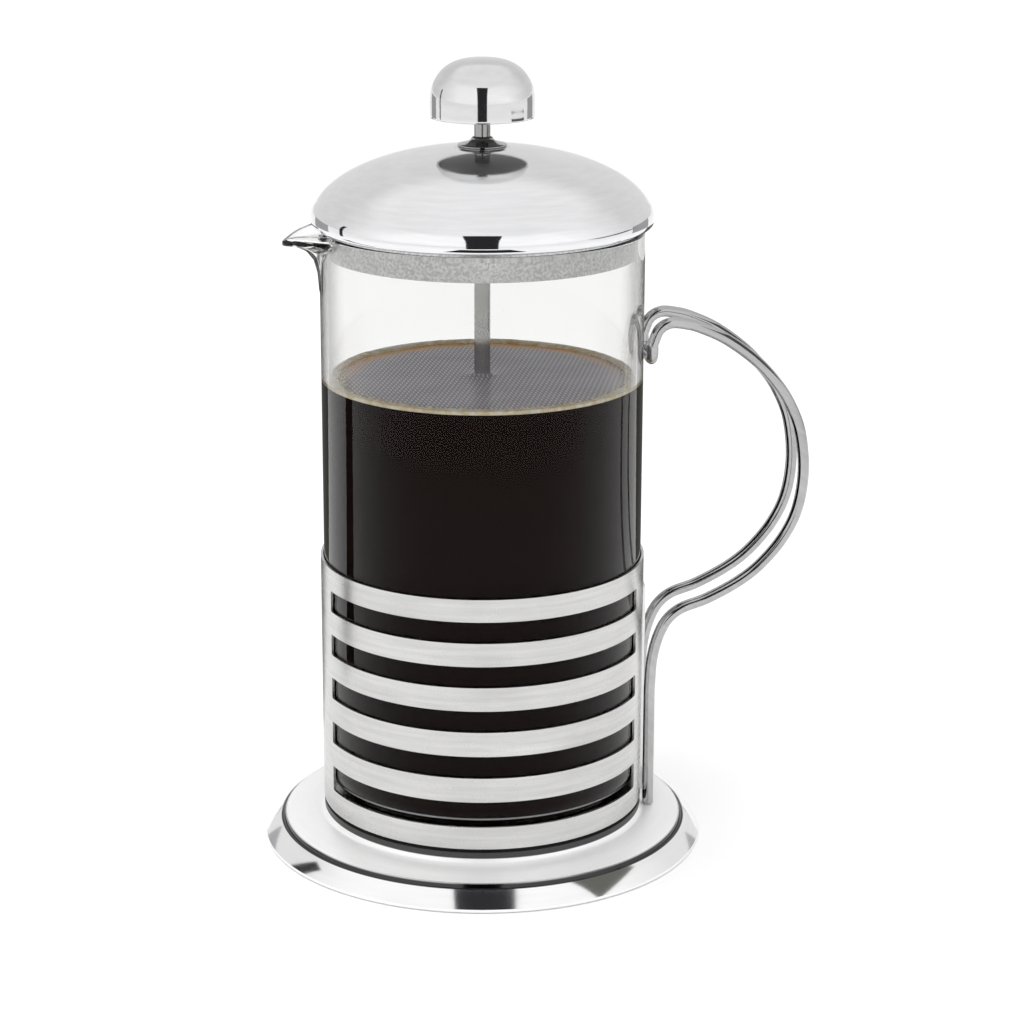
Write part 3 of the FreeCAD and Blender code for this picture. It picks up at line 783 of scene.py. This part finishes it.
def bubble_cluster():
    """Small bubbles scattered along the foam."""
    work = bmesh.new()
    for number in range(420):
        angle = random.uniform(0, 2 * math.pi)
        size = random.choice((0.30, 0.40, 0.50, 0.75))
        radius = random.uniform(43.0, 45.4)
        if random.random() < 0.2:
            radius = random.uniform(41.5, 43.5)
            size *= 0.7
        height = 144.75 + (0.35 if radius > 43 else 0.0)
        centre = Vector((radius * math.cos(angle), radius * math.sin(angle), height)) * MM
        made = bmesh.ops.create_icosphere(work, subdivisions=2, radius=size * MM)
        bmesh.ops.scale(work, vec=(1, 1, 0.6), verts=made["verts"])
        bmesh.ops.translate(work, vec=centre, verts=made["verts"])
    for face in work.faces:
        face.smooth = True
    mesh = bpy.data.meshes.new("foam_bubbles")
    work.to_mesh(mesh)
    work.free()
    mesh.materials.append(foam_froth)
    piece = bpy.data.objects.new("foam_bubbles", mesh)
    bpy.context.scene.collection.objects.link(piece)
    return piece


put(bubble_cluster(), "beaker", None)

# ------------------------------------------------------------------ the lid
SHEET = 0.8
LID_MID, LID_HIGH, LID_WIDE = 192.0, 21.5, 50.6


def lid_outline():
    """Domed sheet with a rolled-in rim and a small flat seat at its centre."""
    top = []
    for number in range(70):
        angle = math.radians(15.0 + (80.2 - 15.0) * number / 69)
        top.append((LID_WIDE * math.cos(angle), LID_MID + LID_HIGH * math.sin(angle)))
    roll = smooth_through(
        [(47.9, 190.62), (49.2, 190.72), (50.0, 191.05), (50.5, 191.8), (50.63, 193.0),
         (50.35, 194.9), (49.7, 196.35), (48.88, 197.56)], 6)
    seat = smooth_through([(8.4, 213.2), (8.05, 212.95), (7.8, 212.6), (7.3, 212.42)], 4)
    outer = roll[:-1] + top + seat + [(4.1, 212.4)]
    inner = []
    for number, (r, z) in enumerate(outer):
        before = Vector(outer[max(0, number - 1)])
        after = Vector(outer[min(len(outer) - 1, number + 1)])
        along = (after - before).normalized()
        inside = Vector((r, z)) + Vector((-along.y, along.x)) * SHEET
        if 5.0 < inside.x < 49.9 and inside.y > 191.0:
            inner.append(tuple(inside))
    return outer + [(4.1, 211.6)] + list(reversed(inner)) + [(47.9, 191.0)]


put(lathe("dome_lid", lid_outline(), lid_steel, 320, sharp=24.0), "lid", "mirror_steel",
    "lid_dome")
skirt_outline = rounded([
    (44.8, 182.2), (45.4, 182.2), (45.4, 189.2), (46.0, 189.8, 0.6), (47.6, 189.8),
    (47.6, 190.5), (44.8, 190.5),
])
put(lathe("lid_collar", skirt_outline, frosted_steel, 256), "lid", "frosted_steel", "lid_skirt")
bush_outline = rounded([
    (2.46, 202.6), (4.0, 202.6), (4.0, 212.16), (5.4, 212.16), (5.2, 212.4), (2.46, 212.4)])
put(lathe("guide_bush", bush_outline, wire_steel, 96), "lid_guide", "polished_wire", "lid_bush")
repaint("lid_nut", wire_steel)

# -------------------------------------------------------------- the plunger
rod_outline = [(0, 20.6), (1.9, 20.6), (2.4, 21.1), (2.4, 230.1), (1.9, 230.6), (0, 230.6)]
put(lathe("plunger_bar", rod_outline, rod_steel, 96), "plunger", "polished_wire", "plunger_rod")
collar_outline = [(2.41, 212.5), (5.0, 212.5)] + smooth_through(
    [(5.4, 212.52), (6.6, 212.75), (7.25, 213.1), (7.28, 213.35), (7.0, 213.5)], 5)
collar_outline += smooth_through(
    [(7.02, 213.58), (7.3, 213.75), (7.32, 213.95), (7.0, 214.2), (5.6, 214.55), (4.2, 214.95),
     (3.4, 215.5), (3.05, 216.1), (2.41, 216.4)], 5)
put(lathe("stop_collar", collar_outline, wire_steel, 128), "plunger", "polished_wire",
    "rod_collar")

hub_outline = rounded([
    (2.4, 25.0), (6.5, 25.0), (6.5, 26.4), (4.6, 27.2), (4.6, 31.5), (4.0, 32.3, -0.9),
    (2.4, 32.3)])
put(lathe("filter_boss", hub_outline, wire_steel, 96), "plunger", "polished_wire", "filter_hub")
screen_outline = rounded([
    (2.4, 23.8), (45.0, 23.8), (45.4, 24.4, -0.5), (45.4, 27.6), (45.1, 27.6), (45.1, 24.4),
    (44.8, 24.1, 0.3), (2.4, 24.1)])
put(lathe("screen_disc", screen_outline, woven_mesh, 192), "plunger", "woven_mesh", "filter_mesh")
repaint("filter_plate", satin_steel)
repaint("spiral_plate", satin_steel)


def coil_ring():
    """Closely wound spring bent into a ring."""
    ring, coil, turns, wire = 43.85, 0.95, 130, 0.25
    per_turn = 10
    curve = bpy.data.curves.new("edge_coil", "CURVE")
    curve.dimensions = "3D"
    curve.bevel_depth = wire * MM
    curve.bevel_resolution = 2
    curve.resolution_u = 2
    spline = curve.splines.new("NURBS")
    count = turns * per_turn
    spline.points.add(count - 1)
    for number, point in enumerate(spline.points):
        around = 2 * math.pi * number / count
        twist = 2 * math.pi * number / per_turn
        radius = ring + coil * math.cos(twist)
        point.co = (radius * math.cos(around) * MM, radius * math.sin(around) * MM,
                    (26.2 + coil * math.sin(twist)) * MM, 1)
    spline.order_u = 3
    spline.use_cyclic_u = True
    return swept("edge_coil", curve)


put(coil_ring(), "plunger", "polished_wire", "edge_spring")
repaint("filter_nut", wire_steel)

# ----------------------------------------------------------------- the knob
knob_outer = smooth_through(
    [(14.95, 222.0), (15.35, 222.25), (15.38, 224.5), (15.36, 227.3), (15.1, 229.6),
     (14.5, 231.7), (13.35, 233.8), (11.6, 235.9), (9.0, 237.65), (6.0, 238.65), (3.0, 239.05),
     (0, 239.15)], 6)
knob_inner = smooth_through(
    [(0, 238.3), (3.0, 238.2), (6.0, 237.8), (8.6, 236.9), (11.0, 235.3), (12.7, 233.3),
     (13.8, 231.3), (14.35, 229.3), (14.55, 227.0), (14.55, 222.0)], 5)
put(lathe("dome_knob", knob_outer + knob_inner, mirror_steel, 256, sharp=45.0), "knob",
    "mirror_steel", "knob_shell")
repaint("knob_insert", grey_plastic)

# ------------------------------------------------- floor, light and camera
def studio_material(name, colour, rough):
    material, tree, shader = new_material(name)
    shader.inputs["Base Color"].default_value = colour
    shader.inputs["Roughness"].default_value = rough
    shader.inputs["Specular IOR Level"].default_value = 0.1
    shader.inputs["Emission Color"].default_value = colour
    shader.inputs["Emission Strength"].default_value = 0.09
    return material


def plane(name, half, height, material):
    vertices = [(-half, -half, height), (half, -half, height), (half, half, height),
                (-half, half, height)]
    return build(name, vertices, [(0, 1, 2, 3)], material)


floor_piece = plane("floor", 30.0, 0.0, studio_material("floor_paint", (0.93, 0.93, 0.93, 1), 0.7))

VIEW_AZIMUTH = -7.3
azimuth = math.radians(VIEW_AZIMUTH)
back = Vector((math.sin(azimuth), -math.cos(azimuth), 0))


def emitter(name, colour, strength):
    material = bpy.data.materials.new(name)
    material.use_nodes = True
    tree = material.node_tree
    tree.nodes.remove(tree.nodes["Principled BSDF"])
    glow = add_node(tree, "ShaderNodeEmission", {"Color": colour, "Strength": strength})
    tree.links.new(glow.outputs[0], tree.nodes["Material Output"].inputs["Surface"])
    return material


def only_in_reflections(piece):
    """Stage a card that is seen only in polished surfaces."""
    for unseen in ("camera", "diffuse", "transmission", "shadow", "volume_scatter"):
        setattr(piece, "visible_" + unseen, False)


def card(name, azimuth_deg, half_width, low, high, radius, material):
    """Upright curved card between two elevations, in degrees."""
    vertices, faces = [], []
    rows = 24
    turn = math.radians(azimuth_deg)
    out = Vector((math.sin(turn), -math.cos(turn), 0))
    side = Vector((math.cos(turn), math.sin(turn), 0))
    for row in range(rows + 1):
        elevation = math.radians(low + (high - low) * row / rows)
        middle = out * radius * math.cos(elevation)
        middle.z = 0.12 + radius * math.sin(elevation)
        vertices.append(middle - side * half_width)
        vertices.append(middle + side * half_width)
    for row in range(rows):
        first = row * 2
        faces.append((first, first + 1, first + 3, first + 2))
    only_in_reflections(build(name, vertices, faces, material))


dark_card = emitter("dark_card", (0.025, 0.025, 0.028, 1), 1.0)
grey_card = emitter("grey_card", (0.40, 0.40, 0.41, 1), 1.0)
floor_grey = emitter("floor_grey", (0.13, 0.13, 0.12, 1), 1.0)
card("gap_card", VIEW_AZIMUTH, 0.170, -6.5, 49.0, 0.95, dark_card)
card("left_line", VIEW_AZIMUTH - 104.0, 0.030, -6.5, 22.0, 0.95, dark_card)
card("left_edge", VIEW_AZIMUTH - 132.0, 0.20, -6.5, 5.0, 0.95, grey_card)
card("right_edge", VIEW_AZIMUTH + 128.0, 0.22, -6.5, 5.0, 0.95, grey_card)
card("left_stand", VIEW_AZIMUTH - 97.2, 0.012, -33.0, -2.0, 0.182, dark_card)


def flat_card(name, azimuth_deg, near, far, half_near, half_far, height, material):
    """Level card between two distances from the axis."""
    turn = math.radians(azimuth_deg)
    out = Vector((math.sin(turn), -math.cos(turn), 0))
    side = Vector((math.cos(turn), math.sin(turn), 0))
    corners = [
        tuple(out * distance + side * offset + Vector((0, 0, height)))
        for distance, offset in ((near, -half_near), (near, half_near), (far, half_far),
                                 (far, -half_far))]
    only_in_reflections(build(name, corners, [(0, 1, 2, 3)], material))


flat_card("low_card", VIEW_AZIMUTH + 1.6, 0.080, 0.185, 0.033, 0.047, 0.15, dark_card)
flat_card("right_card", VIEW_AZIMUTH + 82.0, 0.105, 0.225, 0.034, 0.072, 0.19, floor_grey)
flat_card("left_floor", VIEW_AZIMUTH - 156.0, 0.10, 0.90, 0.03, 0.26, 0.002, floor_grey)
flat_card("right_floor", VIEW_AZIMUTH + 156.0, 0.10, 0.90, 0.03, 0.26, 0.002, floor_grey)


def make_world():
    """White room for the eye; a light tent with a greyer ceiling for polished surfaces."""
    world = bpy.data.worlds.new("studio")
    world.use_nodes = True
    tree = world.node_tree
    background = tree.nodes["Background"]
    direction = add_node(tree, "ShaderNodeTexCoord").outputs["Generated"]
    height = add_node(tree, "ShaderNodeSeparateXYZ", {0: direction}).outputs[2]
    facing = add_node(
        tree, "ShaderNodeVectorMath", {0: direction, 1: tuple(back)},
        operation="DOT_PRODUCT").outputs["Value"]
    walls = remap(tree, facing, 0.80, 1.22, -0.5, 0.5)
    above = remap(tree, height, 0.0, 1.0, 0.64, 0.78)
    tent = math_node(
        tree, "MULTIPLY_ADD", above, math_node(tree, "SUBTRACT", 1.02, walls), walls)
    depth = add_node(tree, "ShaderNodeLightPath").outputs["Glossy Depth"]
    glossy = math_node(tree, "GREATER_THAN", depth, 0.5)
    room = add_node(tree, "ShaderNodeCombineColor", {0: tent, 1: tent, 2: tent}).outputs[0]
    tone = blend_colours(tree, glossy, (1.0, 1.0, 1.0, 1), room)
    tree.links.new(tone, background.inputs["Color"])
    background.inputs["Strength"].default_value = 1.0
    bpy.context.scene.world = world


make_world()


def area_light(name, place, target, width, height, power):
    light = bpy.data.lights.new(name, "AREA")
    light.shape = "RECTANGLE"
    light.size = width
    light.size_y = height
    light.energy = power
    lamp = bpy.data.objects.new(name, light)
    bpy.context.scene.collection.objects.link(lamp)
    lamp.location = place
    lamp.visible_glossy = False
    lamp.rotation_euler = (Vector(target) - Vector(place)).to_track_quat("-Z", "Y").to_euler()
    return lamp


area_light("top_light", (-0.3, -0.2, 1.4), (0, 0, 0.1), 1.2, 1.2, 6.0)

DISTANCE, HEIGHT, PITCH = 0.849, 0.3508, math.radians(16.33)
SENSOR_WIDTH, LENS = 36.0, 102.76171875
SIDE_SHIFT = 0.02900390625
camera_data = bpy.data.cameras.new("camera")
camera_data.sensor_width = SENSOR_WIDTH
camera_data.lens = LENS
camera_data.shift_x = SIDE_SHIFT
camera_data.clip_start = 0.01
camera = bpy.data.objects.new("camera", camera_data)
bpy.context.scene.collection.objects.link(camera)
camera.location = back * DISTANCE + Vector((0, 0, HEIGHT))
forward = -back * math.cos(PITCH) + Vector((0, 0, -math.sin(PITCH)))
camera.rotation_mode = "QUATERNION"
camera.rotation_quaternion = forward.to_track_quat("-Z", "Y")
bpy.context.scene.camera = camera
bpy.context.scene.view_settings.view_transform = "Standard"
